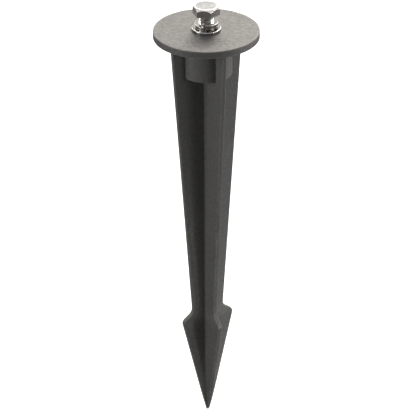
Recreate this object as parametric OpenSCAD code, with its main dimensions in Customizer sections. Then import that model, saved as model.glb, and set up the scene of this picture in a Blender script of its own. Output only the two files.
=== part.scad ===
// Ground spike of a garden spotlight: one cast spike with a round disc, a hub and four barbed blades,
// and the bolt with its two washers that clamps the lamp to the disc.
// Millimetres, +Z up. The origin is the centre of the disc's underside, which is where the ground comes to.

/* [Disc] */
// Diameter of the disc that the lamp stands on
disc_d = 57.5; // [48:0.5:90]
// Thickness of the disc
disc_t = 4; // [3:0.5:8]
// Rounding of the disc's rim
disc_edge_r = 0.4; // [0.2:0.1:1.2]

/* [Hub] */
// Diameter of the hub under the disc
hub_d = 28; // [16:0.5:36]
// Thickness of the hub's floor, below the tapped hole
hub_floor_t = 3.7; // [2:0.1:12]
// Rounding of the hub's lower edge
hub_edge_r = 0.5; // [0.3:0.1:2]

/* [Blades] */
// Length of the whole spike, from the tip to the top of the disc
spike_l = 250; // [200:5:350]
// Radius of the blades where they meet the disc
blade_top_r = 21.5; // [18:0.5:23]
// Radius of the blades at the neck above the barbs
neck_r = 9.6; // [7:0.1:12]
// Height of the neck above the tip
neck_h = 72.25; // [60:0.25:90]
// Fillet of the neck
neck_fillet_r = 4.8; // [0.5:0.1:6]
// Radius out to the barbs, before they are rounded
barb_r = 16.5; // [14:0.5:19]
// Drop of the shoulder from the neck to the barbs
shoulder_drop = 5; // [3:0.25:9]
// Rounding of the barbs
barb_round_r = 3.3; // [0.5:0.1:4]
// Half the width of the blunt tip
tip_r = 1; // [0.5:0.1:2]
// Thickness of each blade at its outer edge
blade_edge_t = 2.4; // [1.5:0.1:4]
// Chamfer of the blades' outer edges
blade_chamfer = 0.35; // [0.1:0.05:0.6]
// Thickness of the core between the creases, at the disc
core_top_t = 5.2; // [4.2:0.1:7]
// Thickness of the core between the creases, at the barbs and below
core_low_t = 7; // [5:0.1:9]

/* [Bolt] */
// Outer diameter of the bolt's thread
bolt_d = 8; // [6:1:10]
// Rise of the thread in one turn
thread_pitch = 1.25; // [1:0.05:1.75]
// Length of the bolt under its head, which is threaded all the way
bolt_l = 25; // [20:1:30]
// Width across the flats of the hexagon head
head_af = 13; // [10:1:17]
// Height of the head
head_h = 5.15; // [4:0.05:7]
// How far the round face under the head stands in from the flats
head_face_inset = 0.6; // [0.2:0.1:1]
// Thickness of that round face
head_face_t = 0.4; // [0.2:0.1:0.8]
// Turn of the head about its axis, in degrees
head_turn = 21.4; // [0:0.1:60]
// Gap between the top of the disc and the underside of the head, with the bolt partly unscrewed
clamp_gap = 8.875; // [7:0.125:12]
// Room left in the tapped hole below the bolt, with the bolt screwed in
hole_room = 1.5; // [0.5:0.5:6]

/* [Washers] */
// Outer diameter of the flat washer
flat_washer_d = 16; // [14:0.5:24]
// Play of the flat washer's hole on the bolt
flat_washer_play = 0.4; // [0.2:0.1:1]
// Thickness of the flat washer
flat_washer_t = 1.6; // [1:0.1:2.5]
// Play of the spring lock washer's hole on the bolt
lock_washer_play = 0.3; // [0.2:0.1:1]
// Width of the spring lock washer's wire
lock_wire_w = 2.2; // [1.5:0.1:3]
// Thickness of the spring lock washer's wire
lock_wire_t = 2; // [1.5:0.1:2.5]
// Free height of the spring lock washer, from its low end to its raised end
lock_washer_h = 3.4; // [2.6:0.1:4.5]
// Width of the split between its ends
split_w = 0.9; // [0.5:0.1:2]
// Direction of the split about the bolt, in degrees
split_turn = -127; // [-180:1:180]

/* [Hidden] */

// Radial gap between the bolt's thread and the hole in the spike
thread_clearance = 0.05;
// How far a cut runs past the face that it opens
overrun = 1;
// Largest share of a blade's radius that its core and its edge may fill, near the tip
core_share = 0.6;
edge_share = 0.45;
// How many times farther the chamfer runs along a blade's face than across its edge
chamfer_slant = 1.5;
// Depth of the thread as a share of its pitch, which the chamfer of the bolt's end cuts down to
thread_depth_share = 0.6134;
// Width of the flat round top of the bolt's head as a share of its width across the flats
head_top_share = 0.92;
// Slope of the cone round that top, in degrees
head_chamfer_angle = 45;
// Chamfer of the flat washer's rim
washer_chamfer = 0.25;
// Numbers of steps along the long tapers, along the small arcs and round the lock washer
taper_steps = 8;
arc_steps = 5;
coil_steps = 44;
$fn = 72;

hole_depth = bolt_l - flat_washer_t - lock_washer_h + hole_room;
hub_l = hole_depth - disc_t + hub_floor_t;
spike_depth = spike_l - disc_t;
barb_h = neck_h - shoulder_drop;
head_under_z = disc_t + clamp_gap;
bolt_end_z = head_under_z - bolt_l;
bolt_end_chamfer = thread_depth_share * thread_pitch;
flat_washer_top_z = disc_t + flat_washer_t;
flat_washer_hole_r = (bolt_d + flat_washer_play) / 2;
blade_directions = [0, 90, 180, 270];

function unit(v) = v / norm(v);
function mix(a, b, share) = a * (1 - share) + b * share;

// Points of an arc of radius r that rounds the corner b between the points a and c
function corner_arc(a, b, c, r) =
    let (
        u = unit(a - b),
        w = unit(c - b),
        half = acos(u * w) / 2,
        middle = b + unit(u + w) * r / sin(half),
        first = b + u * r / tan(half) - middle,
        last = b + w * r / tan(half) - middle,
        swing = acos(unit(first) * unit(last))
    )
    [
        for (i = [0 : arc_steps])
            let (share = i / arc_steps)
            middle + (first * sin((1 - share) * swing) + last * sin(share * swing)) / sin(swing)
    ];

// Points on a straight line from a to b, without its last point
function straight(a, b) = [for (i = [0 : taper_steps - 1]) mix(a, b, i / taper_steps)];

// Outline of a blade as radius and height above the tip, from the disc down to the tip
top_point = [blade_top_r, spike_depth];
neck_point = [neck_r, neck_h];
barb_point = [barb_r, barb_h];
tip_point = [tip_r, 0];
neck_arc = corner_arc(top_point, neck_point, barb_point, neck_fillet_r);
barb_arc = corner_arc(neck_point, barb_point, tip_point, barb_round_r);
blade_outline = concat(
    [[blade_top_r, spike_depth + disc_t / 2]],
    straight(top_point, neck_arc[0]),
    neck_arc,
    barb_arc,
    [for (i = [1 : taper_steps]) mix(barb_arc[arc_steps], tip_point, i / taper_steps)]
);

// Half the thickness of the core at a height above the tip, where the blade has this radius
function core_half(radius, height) =
    let (share = max(0, min(1, (height - barb_h) / (spike_depth - barb_h))))
    min(mix(core_low_t, core_top_t, share) / 2, core_share * radius);

// Half the thickness of a blade's outer edge, where the blade has this radius
function edge_half(radius) = min(blade_edge_t / 2, edge_share * radius);

// One quarter of the cross at a height: a blade's chamfered edge, then the crease beside it
function quarter(radius, height) =
    let (
        half = edge_half(radius),
        cut = min(blade_chamfer, half / 2),
        run = chamfer_slant * cut,
        core = core_half(radius, height)
    )
    [[radius - run, -half], [radius, cut - half], [radius, half - cut], [radius - run, half], [core, core]];

function turned(p, angle) = [p[0] * cos(angle) - p[1] * sin(angle), p[0] * sin(angle) + p[1] * cos(angle)];

function axis_distance(p) = norm([p[0], p[1]]);

// The whole cross at one point of the outline, as points in space
function cross_section(at) = [
    for (direction = blade_directions)
        for (p = quarter(at[0], at[1]))
            let (q = turned(p, direction))
            [q[0], q[1], at[1] - spike_depth]
];

// Skin over a stack of sections that have the same number of points, closed at both ends.
// Looking along the stack, the points of each section run counterclockwise. Each face is split from
// the upper point that lies nearer the axis, so the skin never stands proud of the straight sections.
module loft(sections) {
    points = [for (section = sections) each section];
    count = len(sections[0]);
    last = len(sections) - 1;
    first_cap = [[for (i = [count - 1 : -1 : 0]) i]];
    last_cap = [[for (i = [0 : count - 1]) last * count + i]];
    sides = [
        for (level = [0 : last - 1])
            for (i = [0 : count - 1])
                let (
                    a = level * count + i,
                    b = level * count + (i + 1) % count
                )
                each axis_distance(points[a]) < axis_distance(points[b])
                    ? [[a, b, b + count], [a, b + count, a + count]]
                    : [[a, b, a + count], [b, b + count, a + count]]
    ];
    polyhedron(points = points, faces = concat(first_cap, sides, last_cap));
}

module blades() {
    loft([for (at = blade_outline) cross_section(at)]);
}

// Ring that rounds the outer edge of a cylinder of this radius, level with the middle of the rounding
module edge_ring(radius, edge_r) {
    rotate_extrude()
        translate([radius - edge_r, 0])
            circle(r = edge_r);
}

// Round plate with its rim rounded above and below
module disc() {
    cylinder(r = disc_d / 2 - disc_edge_r, h = disc_t);
    translate([0, 0, disc_edge_r])
        cylinder(d = disc_d, h = disc_t - 2 * disc_edge_r);
    for (z = [disc_edge_r, disc_t - disc_edge_r])
        translate([0, 0, z])
            edge_ring(disc_d / 2, disc_edge_r);
}

// Round boss under the disc, with its lower edge rounded
module hub() {
    translate([0, 0, -hub_l])
        cylinder(r = hub_d / 2 - hub_edge_r, h = hub_l);
    translate([0, 0, hub_edge_r - hub_l]) {
        cylinder(d = hub_d, h = hub_l - hub_edge_r + disc_t / 2);
        edge_ring(hub_d / 2, hub_edge_r);
    }
}

module ground_spike() {
    color("#4a4b4d")
        difference() {
            union() {
                disc();
                hub();
                blades();
            }
            translate([0, 0, disc_t - hole_depth])
                cylinder(d = bolt_d, h = hole_depth + overrun);
        }
}

module flat_washer() {
    color("#c9cbcc")
        translate([0, 0, disc_t])
            rotate_extrude()
                polygon([
                    [flat_washer_hole_r, 0],
                    [flat_washer_d / 2 - washer_chamfer, 0],
                    [flat_washer_d / 2, washer_chamfer],
                    [flat_washer_d / 2, flat_washer_t - washer_chamfer],
                    [flat_washer_d / 2 - washer_chamfer, flat_washer_t],
                    [flat_washer_hole_r, flat_washer_t]
                ]);
}

// One turn of square wire that climbs from its low end, leaving the split open
module lock_washer() {
    inner_r = (bolt_d + lock_washer_play) / 2;
    outer_r = inner_r + lock_wire_w;
    wire_corners = [[outer_r, 0], [inner_r, 0], [inner_r, lock_wire_t], [outer_r, lock_wire_t]];
    split_angle = split_w / ((inner_r + outer_r) / 2) * 180 / PI;
    climb = lock_washer_h - lock_wire_t;
    color("#b9bbbd")
        translate([0, 0, flat_washer_top_z])
            loft([
                for (i = [0 : coil_steps])
                    let (
                        share = i / coil_steps,
                        angle = split_turn - split_angle / 2 - (360 - split_angle) * share,
                        low = climb * share
                    )
                    [
                        for (p = wire_corners)
                            [p[0] * cos(angle), p[0] * sin(angle), p[1] + low]
                    ]
            ]);
}

// Hexagon head with its top corners turned off to a cone, a round washer face and a threaded shank
module hex_bolt() {
    shank_r = bolt_d / 2 - thread_clearance;
    across_corners = head_af / cos(30);
    blank_d = across_corners + overrun;
    head_top_d = head_top_share * head_af;
    cone_drop = (blank_d - head_top_d) / 2 * tan(head_chamfer_angle);
    color("#d4d6d8") {
        translate([0, 0, head_under_z])
            cylinder(d = head_af - 2 * head_face_inset, h = head_h / 2);
        translate([0, 0, head_under_z + head_face_t])
            intersection() {
                rotate([0, 0, head_turn])
                    cylinder(d = across_corners, h = head_h - head_face_t, $fn = 6);
                union() {
                    cylinder(d = blank_d, h = head_h - head_face_t - cone_drop);
                    translate([0, 0, head_h - head_face_t - cone_drop])
                        cylinder(d1 = blank_d, d2 = head_top_d, h = cone_drop);
                }
            }
        translate([0, 0, bolt_end_z]) {
            cylinder(r1 = shank_r - bolt_end_chamfer, r2 = shank_r, h = bolt_end_chamfer);
            translate([0, 0, bolt_end_chamfer])
                cylinder(r = shank_r, h = bolt_l - bolt_end_chamfer + head_h / 2);
        }
    }
}

ground_spike();
flat_washer();
lock_washer();
hex_bolt();
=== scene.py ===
# %% [markdown]
# # A ground spike for a garden spotlight
# This lesson dresses a cast ground spike, its bolt and its two washers. The construction comes from the
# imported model, which is the frame: nothing here moves or resizes it. Each new piece is built in place
# around the same axis, in metres, and then says which body of the frame it rides on.

# %% Load the frame
import math

import bmesh
import bpy
from mathutils import Matrix, Vector


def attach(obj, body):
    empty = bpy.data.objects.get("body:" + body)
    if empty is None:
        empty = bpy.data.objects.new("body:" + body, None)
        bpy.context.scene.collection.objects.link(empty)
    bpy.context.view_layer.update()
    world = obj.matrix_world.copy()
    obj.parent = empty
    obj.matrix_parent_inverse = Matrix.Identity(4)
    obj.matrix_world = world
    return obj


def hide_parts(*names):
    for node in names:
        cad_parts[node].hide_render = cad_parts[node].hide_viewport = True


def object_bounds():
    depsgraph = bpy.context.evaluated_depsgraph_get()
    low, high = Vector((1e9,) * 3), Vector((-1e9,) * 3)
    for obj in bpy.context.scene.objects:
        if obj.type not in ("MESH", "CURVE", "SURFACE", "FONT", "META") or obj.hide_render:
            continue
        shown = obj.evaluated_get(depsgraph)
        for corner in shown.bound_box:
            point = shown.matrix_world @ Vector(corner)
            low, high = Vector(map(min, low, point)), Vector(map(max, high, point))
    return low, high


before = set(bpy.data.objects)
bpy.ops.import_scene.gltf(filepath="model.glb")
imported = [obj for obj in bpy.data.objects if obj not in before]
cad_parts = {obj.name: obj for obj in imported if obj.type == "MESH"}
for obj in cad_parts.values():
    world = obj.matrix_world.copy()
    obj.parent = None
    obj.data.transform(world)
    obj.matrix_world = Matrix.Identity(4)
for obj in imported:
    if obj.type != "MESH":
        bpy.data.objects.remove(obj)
frame_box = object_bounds()
MM = 0.001
print("nodes:", ", ".join(sorted(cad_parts)))

# %% [markdown]
# ## Camera
# The picture was taken from above and a little to one side with a long lens, so the blades hardly converge.
# The camera could be placed by eye, but a spike is all straight lines, and one degree too many shows at
# once. So its place is given as an azimuth, an elevation and a distance from a point on the axis of the
# spike, with a slight roll of the hand that held it.

# %% Camera
view_azimuth = math.radians(-27.76)
view_elevation = math.radians(29.97)
view_roll = math.radians(-0.22)
view_distance = 1002.8 * MM
view_centre_height = -106.03 * MM
view_side_step = 0.25 * MM
focal_pixels = 1768.5
picture_pixels = 415


def place_camera():
    """The camera on its arm round the point of view, rolled about its own axis."""
    level = math.cos(view_elevation)
    back = Vector((math.sin(view_azimuth) * level, -math.cos(view_azimuth) * level, math.sin(view_elevation)))
    right = Vector((0, 0, 1)).cross(back).normalized()
    up = back.cross(right)
    tilted_right = right * math.cos(view_roll) + up * math.sin(view_roll)
    tilted_up = up * math.cos(view_roll) - right * math.sin(view_roll)
    data = bpy.data.cameras.new("camera")
    data.lens = data.sensor_width * focal_pixels / picture_pixels
    camera = bpy.data.objects.new("camera", data)
    centre = Vector((0, 0, view_centre_height)) + right * view_side_step
    turn = Matrix((tilted_right, tilted_up, back)).transposed().to_4x4()
    camera.matrix_world = Matrix.Translation(centre + back * view_distance) @ turn
    bpy.context.scene.collection.objects.link(camera)
    bpy.context.scene.camera = camera
    return camera


camera = place_camera()
print("camera lens:", round(camera.data.lens, 1), "mm")

# %% [markdown]
# ## Helpers
# Three jobs come back for every piece: rounding a corner of an outline, turning an outline about the axis
# as a lathe does, and giving the finished mesh its object, its body and its finish. Each is a short
# function. The lathe is bmesh's spin, and the points that meet on the axis or at the seam are merged: any two
# that lie closer than the weld are one point.

# %% Helpers for outlines and turned shapes
weld = 0.002 * MM
sliver = 0.001 * MM


def rounded(before, corner, after, radius, steps=4):
    """Points of an arc that rounds a corner between two straight lines."""
    before, corner, after = Vector(before), Vector(corner), Vector(after)
    u, w = (before - corner).normalized(), (after - corner).normalized()
    half = u.angle(w) / 2
    middle = corner + (u + w).normalized() * radius / math.sin(half)
    first = corner + u * radius / math.tan(half) - middle
    last = corner + w * radius / math.tan(half) - middle
    swing = first.angle(last)
    points = []
    for i in range(steps + 1):
        share = i / steps
        arm = first * math.sin((1 - share) * swing) + last * math.sin(share * swing)
        points.append(middle + arm / math.sin(swing))
    return points


def rounded_outline(corners):
    """An outline from (radius, height, rounding) corners; a rounding of zero leaves the corner sharp."""
    points = []
    for i, (x, z, rounding) in enumerate(corners):
        if rounding == 0:
            points.append(Vector((x, z)))
        else:
            after = corners[(i + 1) % len(corners)]
            points += rounded(corners[i - 1][:2], (x, z), after[:2], rounding)
    return points


def turned(outline, steps=96):
    """A closed shape that a lathe makes from an outline of (radius, height) points."""
    mesh = bmesh.new()
    corners = [mesh.verts.new((x, 0, z)) for x, z in outline]
    edges = [mesh.edges.new(pair) for pair in zip(corners, corners[1:])]
    bmesh.ops.spin(mesh, geom=corners + edges, cent=(0, 0, 0), axis=(0, 0, 1), angle=math.tau, steps=steps,
                   use_merge=True)
    bmesh.ops.remove_doubles(mesh, verts=mesh.verts, dist=weld)
    bmesh.ops.recalc_face_normals(mesh, faces=mesh.faces)
    return mesh


print("a rounded corner:", len(rounded((1, 0), (0, 0), (0, 1), 0.2)), "points")


# %% Helpers for objects
def new_object(name, mesh):
    """An object at the origin that holds this bmesh."""
    data = bpy.data.meshes.new(name)
    mesh.to_mesh(data)
    mesh.free()
    made = bpy.data.objects.new(name, data)
    bpy.context.scene.collection.objects.link(made)
    return made


def cut_or_join(target, tool, operation):
    """Joins tool to target, or cuts it away, and uses the tool up."""
    modifier = target.modifiers.new("tool", "BOOLEAN")
    modifier.object, modifier.operation, modifier.solver = tool, operation, "EXACT"
    graph = bpy.context.evaluated_depsgraph_get()
    shaped = bpy.data.meshes.new_from_object(target.evaluated_get(graph))
    mesh = bmesh.new()
    mesh.from_mesh(shaped)
    bmesh.ops.remove_doubles(mesh, verts=mesh.verts, dist=weld)
    bmesh.ops.dissolve_degenerate(mesh, edges=mesh.edges, dist=sliver)
    mesh.to_mesh(shaped)
    mesh.free()
    target.modifiers.clear()
    target.data = shaped
    bpy.data.objects.remove(tool)


def finish_piece(piece, body, node, material, sharp_angle=32):
    """Smooth shading with true edges, the finish, and the piece's place in the frame."""
    piece.data.materials.clear()
    piece.data.materials.append(material)
    piece.data.shade_smooth()
    piece.data.set_sharp_from_angle(angle=math.radians(sharp_angle))
    weighted = piece.modifiers.new("weighted_normals", "WEIGHTED_NORMAL")
    weighted.keep_sharp = True
    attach(piece, body)
    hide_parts(node)
    open_edges = sum(1 for edge in edges_of(piece) if edge != 2)
    print(piece.name, len(piece.data.polygons), "faces,", open_edges, "open edges")


def edges_of(piece):
    """How many faces meet at each edge of a piece."""
    mesh = bmesh.new()
    mesh.from_mesh(piece.data)
    counts = [len(edge.link_faces) for edge in mesh.edges]
    mesh.free()
    return counts


# %% [markdown]
# ## Spike
# The real spike is one casting. A round disc carries the lamp, a hub under it holds the tapped hole, and
# four blades in a cross taper down to a neck, flare out to barbs and end in a blunt tip. A mould gives it a
# little draft: each blade is thin at its edge and thicker in the middle, and the middle grows downwards.
# The cross could be four plates laid through each other, but then the creases would be sharp and the
# tapers wrong. So one section of the cross is extruded down the outline of a blade, step by step.

# %% Sizes of the spike
disc_r = frame_box[1].x
disc_top = 4 * MM
disc_edge = 0.4 * MM
hub_r = 14 * MM
hub_low = -21.2 * MM
hub_edge = 0.5 * MM
tip_z = frame_box[0].z
neck_z = tip_z + 72.25 * MM
barb_z = neck_z - 5 * MM
blade_top_r = 21.5 * MM
neck_r = 9.6 * MM
barb_r = 16.5 * MM
tip_r = 1 * MM
neck_fillet = 4.8 * MM
barb_rounding = 3.3 * MM
edge_half = 1.2 * MM
edge_rounding = 0.4 * MM
edge_share = 0.45
core_top_half = 2.6 * MM
core_low_half = 3.1 * MM
core_share = 0.5
crease_rounding = 0.8 * MM
root_fillet = 1 * MM
hole_r = 4 * MM
hole_low = -17.5 * MM
hole_chamfer = 0.4 * MM
bend_share = 0.8
arc_steps = 6
edge_steps = 3
crease_steps = 4
disc_steps = 144
hole_steps = 64
rings_above_neck = 24
rings_below_barb = 12
print("spike:", round((disc_top - tip_z) / MM), "mm long")


# %% [markdown]
# A quarter of the section is three corners: the two of a blade's edge and the crease beside it. Each is
# rounded, and the quarter is turned four times. Near the tip the blade gets too narrow for the sizes above,
# so edge and core become shares of its radius. Near the disc the whole section grows along a quarter circle,
# which is the fillet that a casting has there.

# %% Section of the blades
def core_half(radius, height):
    """Half the thickness in the middle of the cross: it grows downwards and shrinks again at the tip."""
    share = min(1, max(0, (height - barb_z) / -barb_z))
    return min(core_low_half + (core_top_half - core_low_half) * share, core_share * radius)


def cross_ring(radius, height, grow=0.0):
    """Points round the cross at one height, grown outwards by a fillet."""
    half = min(edge_half, edge_share * radius) + grow
    crease = core_half(radius, height) + grow
    outer = radius + grow
    bend = min(edge_rounding, bend_share * half)
    hollow = min(crease_rounding, crease / 2)
    quarter = rounded((crease, -crease), (outer, -half), (outer, half), bend, edge_steps)
    quarter += rounded((outer, -half), (outer, half), (crease, crease), bend, edge_steps)
    quarter += rounded((outer, half), (crease, crease), (half, outer), hollow, crease_steps)
    ring = []
    for k in range(4):
        turn = Matrix.Rotation(k * math.tau / 4, 2)
        ring += [turn @ point for point in quarter]
    return [Vector((point.x, point.y, height)) for point in ring]


def blade_outline():
    """(radius, height) points of a blade's edge from the disc down to the tip."""
    top, neck, barb, tip = (blade_top_r, 0), (neck_r, neck_z), (barb_r, barb_z), (tip_r, tip_z)
    neck_arc = rounded(top, neck, barb, neck_fillet, arc_steps)
    barb_arc = rounded(neck, barb, tip, barb_rounding, arc_steps)
    above = [Vector(top).lerp(neck_arc[0], i / rings_above_neck) for i in range(1, rings_above_neck)]
    below = [barb_arc[-1].lerp(Vector(tip), (i + 1) / rings_below_barb) for i in range(rings_below_barb)]
    return above + neck_arc + barb_arc + below


print("blade outline:", len(blade_outline()), "points; section:", len(cross_ring(barb_r, barb_z)), "points")


# %% Blades
def skin(rings):
    """A closed skin made by extruding the first ring's face through all the others."""
    mesh = bmesh.new()
    place = mesh.verts.layers.int.new("place")
    for i, point in enumerate(rings[0]):
        mesh.verts.new(point)[place] = i
    face = mesh.faces.new(mesh.verts)
    for ring in rings[1:]:
        whole_face = [face, *face.edges, *face.verts]
        made = bmesh.ops.extrude_face_region(mesh, geom=whole_face)["geom"]
        for vert in (part for part in made if isinstance(part, bmesh.types.BMVert)):
            vert.co = ring[vert[place]]
        face = next(part for part in made if isinstance(part, bmesh.types.BMFace))
    mesh.verts.layers.int.remove(place)
    bmesh.ops.recalc_face_normals(mesh, faces=mesh.faces)
    return mesh


def blades():
    """The cross from inside the disc down to the tip."""
    rings = [cross_ring(blade_top_r, disc_top / 2, root_fillet)]
    for i in range(arc_steps + 1):
        angle = i / arc_steps * math.tau / 4
        drop = root_fillet * (1 - math.cos(angle))
        grow = root_fillet * (1 - math.sin(angle))
        rings.append(cross_ring(blade_top_r + (neck_r - blade_top_r) * drop / -neck_z, -drop, grow))
    outline = [point for point in blade_outline() if point.y < -root_fillet]
    rings += [cross_ring(radius, height) for radius, height in outline]
    return skin(rings)


# %% Disc, hub and hole
def disc_and_hub():
    """The disc and the hub under it, turned as one shape."""
    return turned(rounded_outline([
        (0, disc_top, 0),
        (disc_r, disc_top, disc_edge),
        (disc_r, 0, disc_edge),
        (hub_r, 0, root_fillet),
        (hub_r, hub_low, hub_edge),
        (0, hub_low, 0),
    ]), disc_steps)


def hole():
    """The tool that cuts the blind hole and the chamfer at its mouth."""
    above = disc_top + hole_r
    return turned([(0, hole_low), (hole_r, hole_low), (hole_r, disc_top - hole_chamfer),
                   (hole_r + hole_chamfer, disc_top), (hole_r + hole_chamfer, above), (0, above)], hole_steps)


cast_spike = new_object("cast_spike", disc_and_hub())
cut_or_join(cast_spike, new_object("blades", blades()), "UNION")
cut_or_join(cast_spike, new_object("hole", hole()), "DIFFERENCE")
print("spike casting:", len(cast_spike.data.polygons), "faces")

# %% [markdown]
# ## Bolt
# The bolt is a stainless M8 hexagon bolt, threaded all the way. A real head is pressed as a round blank with
# a cone round its top and then trimmed to six flats, which leaves a scallop over each flat. The same two
# steps make it here: a blank from the lathe, then six cuts with bisect_plane. The thread is one tooth's
# outline that spin carries round while it climbs. A ring per turn would look alike from afar, but a real
# thread climbs, and it shows when the bolt turns.

# %% Sizes of the bolt
head_half = 6.5 * MM
head_top = frame_box[1].z
head_low = head_top - 5.15 * MM
head_face_r = 5.9 * MM
head_face_t = 0.4 * MM
head_top_r = 5.98 * MM
head_slope = math.radians(45)
head_turn = math.radians(21.4)
blank_spare = 0.5 * MM
top_rounding = 0.6 * MM
corner_rounding = 0.15 * MM
corner_from = math.radians(20)
head_steps = 180
cut_accuracy = 0.0001 * MM
thread_r = 3.95 * MM
thread_pitch = 1.25 * MM
thread_depth = 0.6134 * thread_pitch
flank_angle = math.radians(30)
crest_share = 0.125
bolt_end = head_low - 25 * MM
print("bolt: head", round((head_top - head_low) / MM, 1), "mm high, end at", round(bolt_end / MM, 1), "mm")


# %% Head
def bolt_head():
    """The hexagon head: a turned blank with a washer face and a cone, cut to six flats."""
    blank_r = head_half / math.cos(math.tau / 12) + blank_spare
    face_high = head_low + head_face_t
    cone_low = head_top - (blank_r - head_top_r) * math.tan(head_slope)
    head = turned(rounded_outline([
        (0, head_low, 0),
        (head_face_r, head_low, 0),
        (head_face_r, face_high, 0),
        (blank_r, face_high, 0),
        (blank_r, cone_low, 0),
        (head_top_r, head_top, top_rounding),
        (0, head_top, 0),
    ]), head_steps)
    for k in range(6):
        angle = head_turn + (k + 0.5) * math.tau / 6
        out = Vector((math.cos(angle), math.sin(angle), 0))
        parts = head.verts[:] + head.edges[:] + head.faces[:]
        cut = bmesh.ops.bisect_plane(head, geom=parts, plane_co=out * head_half, plane_no=out,
                                     clear_outer=True, dist=cut_accuracy)["geom_cut"]
        bmesh.ops.edgeloop_fill(head, edges=[part for part in cut if isinstance(part, bmesh.types.BMEdge)])
    bmesh.ops.recalc_face_normals(head, faces=head.faces)
    sharp = [edge for edge in head.edges if edge.calc_face_angle(0) > corner_from]
    bmesh.ops.bevel(head, geom=sharp, offset=corner_rounding, offset_type="OFFSET", affect="EDGES",
                    segments=3, profile=0.5, material=-1, clamp_overlap=True)
    bmesh.ops.recalc_face_normals(head, faces=head.faces)
    return head


hex_head_bolt = new_object("hex_head_bolt", bolt_head())
print("head:", len(hex_head_bolt.data.polygons), "faces")


# %% Threaded shank
def thread_outline():
    """One tooth from root to root as (radius, share of the pitch)."""
    flank = thread_depth * math.tan(flank_angle) / thread_pitch
    root = (1 - crest_share - 2 * flank) / 2
    low = thread_r - thread_depth
    return [(low, 0), (low, root), (thread_r, root + flank),
            (thread_r, 1 - root - flank), (low, 1 - root), (low, 1)]


def threaded_shank(low, high, steps=40):
    """A spiral thread between two heights, with a chamfer at its lower end."""
    mesh = bmesh.new()
    start = low - 2 * thread_pitch
    tooth = [(radius, 0, start + share * thread_pitch) for radius, share in thread_outline()]
    corners = [mesh.verts.new(point) for point in tooth]
    edges = [mesh.edges.new(pair) for pair in zip(corners, corners[1:])]
    turns = math.ceil((high - start) / thread_pitch) + 1
    bmesh.ops.spin(mesh, geom=corners + edges, cent=(0, 0, 0), axis=(0, 0, 1), steps=steps * turns,
                   dvec=(0, 0, thread_pitch / steps), angle=math.tau * turns)
    bmesh.ops.remove_doubles(mesh, verts=mesh.verts, dist=weld)
    for vert in mesh.verts:
        radius = math.hypot(vert.co.x, vert.co.y)
        limit = thread_r - thread_depth + max(0, vert.co.z - low)
        if radius > limit:
            vert.co.x *= limit / radius
            vert.co.y *= limit / radius
    for height, up in ((low, -1), (high, 1)):
        parts = mesh.verts[:] + mesh.edges[:] + mesh.faces[:]
        cut = bmesh.ops.bisect_plane(mesh, geom=parts, plane_co=(0, 0, height), plane_no=(0, 0, up),
                                     clear_outer=True)["geom_cut"]
        bmesh.ops.edgeloop_fill(mesh, edges=[part for part in cut if isinstance(part, bmesh.types.BMEdge)])
    bmesh.ops.recalc_face_normals(mesh, faces=mesh.faces)
    return mesh


shank = new_object("shank", threaded_shank(bolt_end, head_low + head_face_t))
cut_or_join(hex_head_bolt, shank, "UNION")
print("bolt:", len(hex_head_bolt.data.polygons), "faces")

# %% [markdown]
# ## Washers
# The plain washer is stamped from sheet: the die rolls its upper edges and leaves its lower ones crisp. The
# spring washer is a length of square wire, wound once and cut, whose ends stand apart until the bolt
# presses them level. Spin makes both, the second one with a climb, as a winding machine does.

# %% Sizes of the washers
washer_r = 8 * MM
washer_hole_r = 4.2 * MM
washer_low = disc_top
washer_t = 1.6 * MM
wire_inner_r = 4.15 * MM
wire_w = 2.2 * MM
wire_t = 2 * MM
wire_rounding = 0.22 * MM
wire_low = washer_low + washer_t
wire_climb = 1.4 * MM
split_w = 0.9 * MM
split_turn = math.radians(-127)
print("washers: undersides at", round(washer_low / MM, 2), "and", round(wire_low / MM, 2), "mm")


# %% Plain washer
def plain_washer():
    """A stamped washer whose upper edges are rolled over."""
    rolled, crisp = 0.35 * MM, 0.12 * MM
    high = washer_low + washer_t
    corners = [(washer_hole_r, washer_low, crisp), (washer_r, washer_low, crisp), (washer_r, high, rolled),
               (washer_hole_r, high, rolled)]
    outline = rounded_outline(corners)
    return turned(outline + outline[:1])


round_washer = new_object("round_washer", plain_washer())
print("plain washer:", len(round_washer.data.polygons), "faces")


# %% Spring washer
def wound_washer(steps=90):
    """One turn of square wire, wound with a climb and cut at the split."""
    mesh = bmesh.new()
    outer_r = wire_inner_r + wire_w
    gap = split_w / ((wire_inner_r + outer_r) / 2)
    corners = [(wire_inner_r, wire_low, wire_rounding), (outer_r, wire_low, wire_rounding),
               (outer_r, wire_low + wire_t, wire_rounding), (wire_inner_r, wire_low + wire_t, wire_rounding)]
    turn = Matrix.Rotation(split_turn - gap / 2, 4, "Z")
    face = mesh.faces.new([mesh.verts.new(turn @ Vector((x, 0, z))) for x, z in rounded_outline(corners)])
    bmesh.ops.spin(mesh, geom=[face], cent=(0, 0, 0), axis=(0, 0, 1), dvec=(0, 0, wire_climb / steps),
                   angle=gap - math.tau, steps=steps)
    bmesh.ops.recalc_face_normals(mesh, faces=mesh.faces)
    return mesh


split_washer = new_object("split_washer", wound_washer())
print("spring washer:", len(split_washer.data.polygons), "faces")

# %% [markdown]
# ## Finishes
# The casting has a matte anthracite powder coat. It dries with the grain of an orange's skin, lies thinnest
# on the edges, and handling rubs those a little lighter; the lighter edges are also a painted highlight,
# where the rounded rims catch the light. The bolt and washers are stainless steel with a semi-bright skin,
# and the washers' steel is painted darker than the bolt's, as painted shade for the shadow and dark
# reflections under the head. Both finishes are built from noise on object coordinates, in real sizes, so the
# grain stays the same on every piece and doesn't slide. The lighter edges come from ambient occlusion that
# looks into the
# piece: near an outward edge there is little of the piece to meet.

# %% Helpers for materials
def start_material(name):
    """A new material with its tree, its shader and the object's own coordinates."""
    made = bpy.data.materials.new(name)
    made.use_nodes = True
    tree = made.node_tree
    return made, tree, tree.nodes["Principled BSDF"], tree.nodes.new("ShaderNodeTexCoord").outputs["Object"]


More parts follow.
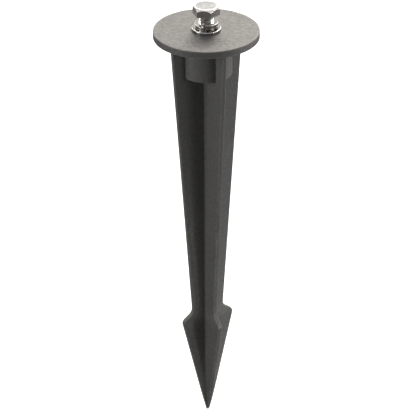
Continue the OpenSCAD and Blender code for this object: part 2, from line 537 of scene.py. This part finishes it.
def noise(tree, where, grain, detail=2.0):
    """Noise whose grains are about this many metres across."""
    node = tree.nodes.new("ShaderNodeTexNoise")
    node.inputs["Scale"].default_value = 1 / grain
    node.inputs["Detail"].default_value = detail
    tree.links.new(where, node.inputs["Vector"])
    return node.outputs["Fac"]


def between(tree, value, low, high):
    """A noise value from 0.3 to 0.7, spread between two numbers."""
    node = tree.nodes.new("ShaderNodeMapRange")
    node.inputs["From Min"].default_value = 0.3
    node.inputs["From Max"].default_value = 0.7
    node.inputs["To Min"].default_value = low
    node.inputs["To Max"].default_value = high
    tree.links.new(value, node.inputs["Value"])
    return node.outputs["Result"]


def blend_colours(tree, value, first, second):
    """The first colour at zero, the second at one."""
    node = tree.nodes.new("ShaderNodeMix")
    node.data_type = "RGBA"
    node.inputs["A"].default_value = (*first, 1)
    node.inputs["B"].default_value = (*second, 1)
    tree.links.new(value, node.inputs["Factor"])
    return node.outputs["Result"]


def bump(tree, height, depth, below=None):
    """Relief of this depth in metres, on top of another relief if there is one."""
    node = tree.nodes.new("ShaderNodeBump")
    node.inputs["Distance"].default_value = depth
    tree.links.new(height, node.inputs["Height"])
    if below:
        tree.links.new(below, node.inputs["Normal"])
    return node.outputs["Normal"]


def scaled(tree, colour, value):
    """A colour made lighter or darker by a value round one."""
    node = tree.nodes.new("ShaderNodeVectorMath")
    node.operation = "SCALE"
    tree.links.new(colour, node.inputs[0])
    tree.links.new(value, node.inputs["Scale"])
    return node.outputs["Vector"]


def edge_wear_and_painted_highlight(tree, width, low, high):
    """The low number on the faces and the high one on the outward edges, over about this width.
    It stands for rubbed wear and for a painted highlight where the rims catch the light.
    """
    node = tree.nodes.new("ShaderNodeAmbientOcclusion")
    node.inside = True
    node.only_local = True
    node.samples = 8
    node.inputs["Distance"].default_value = width
    spread = tree.nodes.new("ShaderNodeMapRange")
    spread.inputs["From Min"].default_value = 0.95
    spread.inputs["From Max"].default_value = 0.6
    spread.inputs["To Min"].default_value = low
    spread.inputs["To Max"].default_value = high
    tree.links.new(node.outputs["AO"], spread.inputs["Value"])
    return spread.outputs["Result"]


# %% Powder coat
def powder_coat():
    """Matte anthracite with orange peel, a fine grain, and edges lighter from wear and a painted highlight.
    """
    made, tree, shader, where = start_material("anthracite_powder_coat")
    fine = noise(tree, where, 0.5 * MM, 3)
    peel = noise(tree, where, 1.7 * MM, 2)
    broad = noise(tree, where, 14 * MM, 3)
    shade = between(tree, broad, 0.25, 0.75)
    colour = blend_colours(tree, shade, (0.052, 0.051, 0.050), (0.064, 0.063, 0.061))
    colour = scaled(tree, colour, between(tree, peel, 0.86, 1.14))
    # Painted highlight and wear: the outward edges are lightened up to 2.4 times.
    colour = scaled(tree, colour, edge_wear_and_painted_highlight(tree, 0.9 * MM, 1, 2.4))
    tree.links.new(colour, shader.inputs["Base Color"])
    tree.links.new(between(tree, peel, 0.62, 0.46), shader.inputs["Roughness"])
    waves = bump(tree, peel, 0.17 * MM)
    tree.links.new(bump(tree, fine, 0.04 * MM, waves), shader.inputs["Normal"])
    return made


coat = powder_coat()
print("coat:", len(coat.node_tree.nodes), "nodes")


# %% Stainless steel
def stainless(name, tone, low, high):
    """Stainless steel in this tone, with a roughness between low and high."""
    made, tree, shader, where = start_material(name)
    fine = noise(tree, where, 0.25 * MM, 3)
    broad = noise(tree, where, 3 * MM, 2)
    shader.inputs["Metallic"].default_value = 1
    dark = tuple(0.9 * c for c in tone)
    tree.links.new(blend_colours(tree, between(tree, broad, 0, 1), dark, tone), shader.inputs["Base Color"])
    tree.links.new(between(tree, broad, low, high), shader.inputs["Roughness"])
    tree.links.new(bump(tree, fine, 0.004 * MM), shader.inputs["Normal"])
    return made


bolt_steel = stainless("stainless_bolt_steel", (0.61, 0.60, 0.575), 0.10, 0.17)
# Painted shade: the two washers' steel is darker than the bolt's, for the shadow and dark reflections under
# the head.
spring_steel_painted_shade = stainless("stainless_spring_steel", (0.36, 0.35, 0.335), 0.10, 0.18)
washer_steel_painted_shade = stainless("stainless_washer_steel", (0.37, 0.36, 0.345), 0.08, 0.15)
print("steels:", ", ".join(steel.name for steel in (bolt_steel, spring_steel_painted_shade, washer_steel_painted_shade)))

# %% [markdown]
# ## Putting the pieces in the frame
# Each piece takes the place of one node of the frame and rides on that node's body, so it moves with it
# in every pose.

# %% Finish the pieces
finish_piece(cast_spike, "spike", "ground_spike", coat)
finish_piece(round_washer, "flat_washer", "flat_washer", washer_steel_painted_shade)
finish_piece(split_washer, "lock_washer", "lock_washer", spring_steel_painted_shade)
finish_piece(hex_head_bolt, "bolt", "hex_bolt", bolt_steel)

# %% [markdown]
# ## Studio
# The picture has a white ground and soft light. The floor is pale, and the world is white to the camera and
# in reflections. The light on the object comes from soft lamps, so the dark coat keeps its depth. One bare
# lamp would do for the shape, but its edges would be hard and the far side of each blade black.

# %% Floor and world
def seen_directly(tree):
    """One for rays that look straight, in a mirror or through glass at this, and zero for the rest."""
    path = tree.nodes.new("ShaderNodeLightPath")
    seen = path.outputs["Is Camera Ray"]
    for name in ("Is Glossy Ray", "Is Transmission Ray"):
        node = tree.nodes.new("ShaderNodeMath")
        node.operation = "MAXIMUM"
        tree.links.new(seen, node.inputs[0])
        tree.links.new(path.outputs[name], node.inputs[1])
        seen = node.outputs[0]
    return seen


def white_world(dim):
    """White where it is seen, and dim as a light."""
    world = bpy.data.worlds.new("studio")
    world.use_nodes = True
    tree = world.node_tree
    background = tree.nodes["Background"]
    strength = tree.nodes.new("ShaderNodeMapRange")
    strength.inputs["To Min"].default_value = dim
    tree.links.new(seen_directly(tree), strength.inputs["Value"])
    background.inputs["Color"].default_value = (1, 1, 1, 1)
    tree.links.new(strength.outputs["Result"], background.inputs["Strength"])
    bpy.context.scene.world = world


def pale_floor(height, size, glow):
    """A pale floor that glows a little where it is seen, and still takes the shadow."""
    mesh = bmesh.new()
    bmesh.ops.create_grid(mesh, x_segments=1, y_segments=1, size=size)
    bmesh.ops.translate(mesh, verts=mesh.verts, vec=(0, 0, height))
    floor = new_object("floor", mesh)
    made, tree, shader, where = start_material("pale_floor")
    grain = noise(tree, where, 40 * MM, 2)
    tone = blend_colours(tree, between(tree, grain, 0, 1), (0.84, 0.84, 0.84), (0.86, 0.86, 0.86))
    tree.links.new(tone, shader.inputs["Base Color"])
    shader.inputs["Roughness"].default_value = 0.9
    shader.inputs["Specular IOR Level"].default_value = 0
    shader.inputs["Emission Color"].default_value = (1, 1, 1, 1)
    strength = tree.nodes.new("ShaderNodeMapRange")
    strength.inputs["To Max"].default_value = glow
    tree.links.new(seen_directly(tree), strength.inputs["Value"])
    tree.links.new(strength.outputs["Result"], shader.inputs["Emission Strength"])
    floor.data.materials.append(made)
    return floor


floor_half = 6
floor_glow = 0.5
world_light = 0.02
white_world(world_light)
floor = pale_floor(tip_z, floor_half, floor_glow)
print("floor:", 2 * floor_half, "m wide, at", round(floor.data.vertices[0].co.z / MM), "mm")


# %% [markdown]
# Polished steel mirrors what lies around it, and on a white floor the flats of the bolt would turn white.
# In the picture they are dark. A photographer lays dark cards round the object for this. Here one large
# card lies on the floor: it shows in reflections, throws no shadow, and the camera doesn't see it.

# %% Dark card
def dark_card(size, height, tone):
    """A dark card that only reflections and bounced light meet."""
    mesh = bmesh.new()
    bmesh.ops.create_grid(mesh, x_segments=1, y_segments=1, size=size)
    bmesh.ops.translate(mesh, verts=mesh.verts, vec=(0, 0, height))
    card = new_object("dark_card", mesh)
    made, tree, shader, where = start_material("dark_card")
    grain = between(tree, noise(tree, where, 20 * MM, 2), 0, 1)
    colour = blend_colours(tree, grain, (0.95 * tone, 0.95 * tone, 0.95 * tone), (tone, tone, tone))
    tree.links.new(colour, shader.inputs["Base Color"])
    shader.inputs["Roughness"].default_value = 0.9
    shader.inputs["Specular IOR Level"].default_value = 0
    card.data.materials.append(made)
    card.visible_camera = False
    card.visible_shadow = False
    return card


card_half = 1.1
card_lift = 1 * MM
card = dark_card(card_half, tip_z + card_lift, 0.13)
print("card:", 2 * card_half, "m wide, hidden from the camera:", not card.visible_camera)


# %% [markdown]
# Three warm lamps stand behind and above, and bring out the top of the disc. The ones in front and on both
# sides are lower and weaker, because they only lift the blades and the hub out of the dark. The last one is
# small and low, with a narrow beam that reaches the lower blades and not the disc.

# %% Lamps
def soft_lamp(name, azimuth, elevation, distance, size, watts, tint=(1, 1, 1)):
    """A square soft lamp that looks at the middle of the spike. Azimuth runs as in the frame's views."""
    data = bpy.data.lights.new(name, "AREA")
    data.size, data.energy, data.color = size, watts, tint
    lamp = bpy.data.objects.new(name, data)
    around, up = math.radians(azimuth), math.radians(elevation)
    level = math.cos(up)
    back = Vector((math.sin(around) * level, -math.cos(around) * level, math.sin(up)))
    turn = back.to_track_quat("Z", "Y").to_matrix().to_4x4()
    lamp.matrix_world = Matrix.Translation(Vector((0, 0, tip_z / 2)) + back * distance) @ turn
    bpy.context.scene.collection.objects.link(lamp)
    return lamp


warm = (1, 0.95, 0.87)
soft_lamp("back_right_lamp", 129, 35, 1.4, 0.8, 16, warm)
soft_lamp("back_left_lamp", 177, 35, 1.4, 0.8, 7, warm)
soft_lamp("high_lamp", 150, 56, 1.4, 0.9, 12.5, warm)
soft_lamp("front_lamp", 34, 14, 1.3, 0.4, 5.5)
soft_lamp("right_lamp", 60, 3, 1.3, 0.4, 8)
soft_lamp("far_right_lamp", 84, 4, 1.3, 0.6, 4.5)
soft_lamp("left_lamp", -93, 14, 1.3, 0.6, 12)
low_lamp = soft_lamp("low_lamp", 35, 0, 1, 0.1, 0.04)
low_lamp.location.z = tip_z + 46 * MM
low_lamp.data.spread = math.radians(16)

# %% [markdown]
# The picture is a plain product shot on pure white. Blender's own view of a scene is film-like and would
# grey the white ground, so the colours go to the screen as they are, with the Standard view.

# %% Colours on the screen
bpy.context.scene.view_settings.view_transform = "Standard"
print("view:", bpy.context.scene.view_settings.view_transform)
